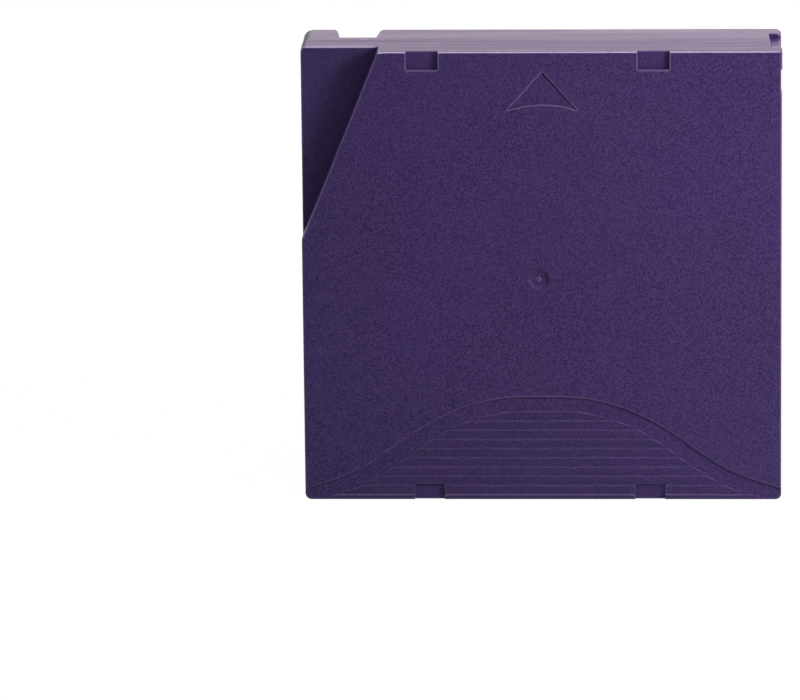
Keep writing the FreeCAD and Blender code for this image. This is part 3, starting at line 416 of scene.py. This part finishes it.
def coilTree(name, axis):
    tree = bpy.data.node_groups.new(name, "GeometryNodeTree")
    sockets = {}
    for label, kind in coilInputs:
        socket = tree.interface.new_socket(name=label, in_out="INPUT", socket_type="NodeSocket" + kind)
        sockets[label] = socket.identifier
    tree.interface.new_socket(name="Geometry", in_out="OUTPUT", socket_type="NodeSocketGeometry")
    given = addNode(tree, "NodeGroupInput").outputs
    wire, closed, turns = given["Wire"], given["End Turns"], given["Turns"]

    # the end turns lie wire on wire, the free turns between them rise evenly
    index = addNode(tree, "GeometryNodeInputIndex").outputs[0]
    wound = calculate(tree, "DIVIDE", index, float(bendsPerTurn))
    beyondFoot = calculate(tree, "SUBTRACT", wound, closed)
    beyondFree = calculate(tree, "SUBTRACT", beyondFoot, turns)
    tight = calculate(tree, "ADD", between(tree, wound, closed), between(tree, beyondFree, closed))
    height = calculate(tree, "ADD", calculate(tree, "MULTIPLY", tight, wire),
                       calculate(tree, "MULTIPLY", between(tree, beyondFoot, turns), given["Rise"]))
    angle = calculate(tree, "MULTIPLY", wound, 2 * math.pi)
    parts = {axis: height}
    for side, operation in zip([i for i in range(3) if i != axis], ("COSINE", "SINE")):
        parts[side] = calculate(tree, "MULTIPLY", calculate(tree, operation, angle), given["Radius"])
    spot = addNode(tree, "ShaderNodeCombineXYZ", {}, parts).outputs[0]
    place = addNode(tree, "ShaderNodeVectorMath", {}, {0: spot, 1: given["Foot"]}, operation="ADD").outputs[0]

    count = calculate(tree, "ADD", given["Bends"], 1.0)
    line = addNode(tree, "GeometryNodeMeshLine", {}, {"Count": count}).outputs[0]
    curve = addNode(tree, "GeometryNodeMeshToCurve", {}, {"Mesh": line}).outputs[0]
    winding = addNode(tree, "GeometryNodeSetPosition", {}, {"Geometry": curve, "Position": place}).outputs[0]
    profile = addNode(tree, "GeometryNodeCurvePrimitiveCircle", {"Resolution": wireCorners},
                      {"Radius": calculate(tree, "MULTIPLY", wire, 0.5)}).outputs[0]
    body = addNode(tree, "GeometryNodeCurveToMesh", {"Fill Caps": True},
                   {"Curve": winding, "Profile Curve": profile}).outputs[0]
    smooth = addNode(tree, "GeometryNodeSetShadeSmooth", {}, {0: body}).outputs[0]
    real = addNode(tree, "GeometryNodeRealizeInstances", {}, {0: smooth}).outputs[0]
    dressed = addNode(tree, "GeometryNodeSetMaterial", {},
                      {"Geometry": real, "Material": given["Material"]}).outputs[0]
    addNode(tree, "NodeGroupOutput", {}, {0: dressed})
    return tree, sockets


def coilSpring(name, look, material):
    low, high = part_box(name)
    wire, axis = look["wireMm"] * mm, look["axis"]
    side = 0 if axis else 1
    length = high[axis] - low[axis]
    foot = centreOf(name)
    foot[axis] = low[axis] + wire / 2
    values = {
        "Bends": round((look["turns"] + 2 * look["endTurns"]) * bendsPerTurn),
        "Wire": wire,
        "Radius": (high[side] - low[side] - wire) / 2,
        "Turns": look["turns"],
        "End Turns": look["endTurns"],
        "Rise": (length - wire * (2 * look["endTurns"] + 1)) / look["turns"],
        "Foot": foot,
        "Material": material,
    }
    tree, sockets = coilTree(name + "Winding", axis)
    spring = bpy.data.objects.new(name + "Coil", bpy.data.meshes.new(name + "Start"))
    bpy.context.scene.collection.objects.link(spring)
    winding = spring.modifiers.new("winding", "NODES")
    winding.node_group = tree
    for label, value in values.items():
        winding[sockets[label]] = value
    wound = spring.evaluated_get(bpy.context.evaluated_depsgraph_get())
    mesh = bpy.data.meshes.new_from_object(wound)
    spring.modifiers.remove(winding)
    spring.data = mesh
    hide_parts(name)
    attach(spring, "housing")
    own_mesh(spring)


coilSpring("door_spring", doorSpringLook, springSteel)
coilSpring("brake_spring", brakeSpringLook, springSteel)
print("springs wound")


# Floor, lamps and world
studio = {
    "floorColour": "#f4f3f5",
    "floorHalf": 4.0,                # metres
    "floorFibreMm": 2.5,
    "floorRoughness": (0.8, 0.95),
    "floorGlow": 1.02,
    "glowShare": 0.97,               # for the camera and in mirrorings, so that the floor stays white
    "ambient": 0.04,
    "lamps": (                       # name, place, width and depth, watts, colour
        ("keyLamp", (0.26, -0.17, 0.24), (0.12, 0.12), 1.58, "#fff8f8"),
        ("fillLamp", (0.2, -1.5, 1.0), (0.7, 0.7), 0.8, "#f2f2ff"),
        ("topLamp", (0.0, -0.2, 1.3), (0.4, 0.4), 3.0, "#fffdfb"),
        ("backLamp", (0.1, 1.2, 0.6), (0.9, 0.9), 6.0, "#ffeaf4"),
        ("edgeStrip", (0.0, -0.333, 1.3), (0.5, 0.12), 18.0, "#f4e6ff"),
    ),
    "notMirrored": "keyLamp",        # it hangs so near that walls would mirror it as a glare
    "onlyMirrored": "edgeStrip",     # it draws the bright rims
}


def viewRays(tree):
    rays = addNode(tree, "ShaderNodeLightPath")
    seen = calculate(tree, "MAXIMUM", rays.outputs["Is Camera Ray"], rays.outputs["Is Glossy Ray"])
    return calculate(tree, "MAXIMUM", seen, rays.outputs["Is Transmission Ray"])


def buildWorld(look):
    world = bpy.data.worlds.new("studioWorld")
    bpy.context.scene.world = world
    world.use_nodes = True
    tree = world.node_tree
    tree.nodes.clear()
    light = addNode(tree, "ShaderNodeBackground", {"Color": (1, 1, 1, 1), "Strength": look["ambient"]})
    white = addNode(tree, "ShaderNodeBackground", {"Color": (1, 1, 1, 1), "Strength": 1.0})
    mix = addNode(tree, "ShaderNodeMixShader", {}, {0: viewRays(tree), 1: light.outputs[0], 2: white.outputs[0]})
    output = addNode(tree, "ShaderNodeOutputWorld")
    tree.links.new(mix.outputs[0], output.inputs["Surface"])


def buildFloor(look):
    material, tree = newMaterial("matteFloorPaper")      # white sheet, nearly lit through
    fibres = noise(tree, objectPlace(tree), look["floorFibreMm"], 3.0)
    paper = addNode(tree, "ShaderNodeBsdfPrincipled", {"Base Color": linear(look["floorColour"])},
                    {"Roughness": remap(tree, fibres, wanted=look["floorRoughness"])})
    glow = addNode(tree, "ShaderNodeEmission", {"Color": (1, 1, 1, 1), "Strength": look["floorGlow"]})
    share = calculate(tree, "MULTIPLY", viewRays(tree), look["glowShare"])
    mix = addNode(tree, "ShaderNodeMixShader", {}, {0: share, 1: paper.outputs[0], 2: glow.outputs[0]})
    finishMaterial(material, tree, mix)
    half = look["floorHalf"]
    corners = [(-half, -half, 0), (half, -half, 0), (half, half, 0), (-half, half, 0)]
    mesh = bpy.data.meshes.new("studioFloor")
    mesh.from_pydata(corners, [], [(0, 1, 2, 3)])
    mesh.materials.append(material)
    floor = bpy.data.objects.new("studioFloor", mesh)
    bpy.context.scene.collection.objects.link(floor)


def hangLamps(look):
    for name, place, size, watts, colour in look["lamps"]:
        data = bpy.data.lights.new(name, "AREA")
        data.shape = "RECTANGLE"
        data.size, data.size_y = size
        data.energy = watts
        data.color = linear(colour)[:3]
        lamp = bpy.data.objects.new(name, data)
        aim = (Vector(cameraView["middle"]) - Vector(place)).to_track_quat("-Z", "Y")
        lamp.matrix_world = Matrix.Translation(place) @ aim.to_matrix().to_4x4()
        lamp.visible_glossy = name != look["notMirrored"]
        lamp.visible_diffuse = name != look["onlyMirrored"]
        bpy.context.scene.collection.objects.link(lamp)


buildWorld(studio)
buildFloor(studio)
hangLamps(studio)
print("studio lit")
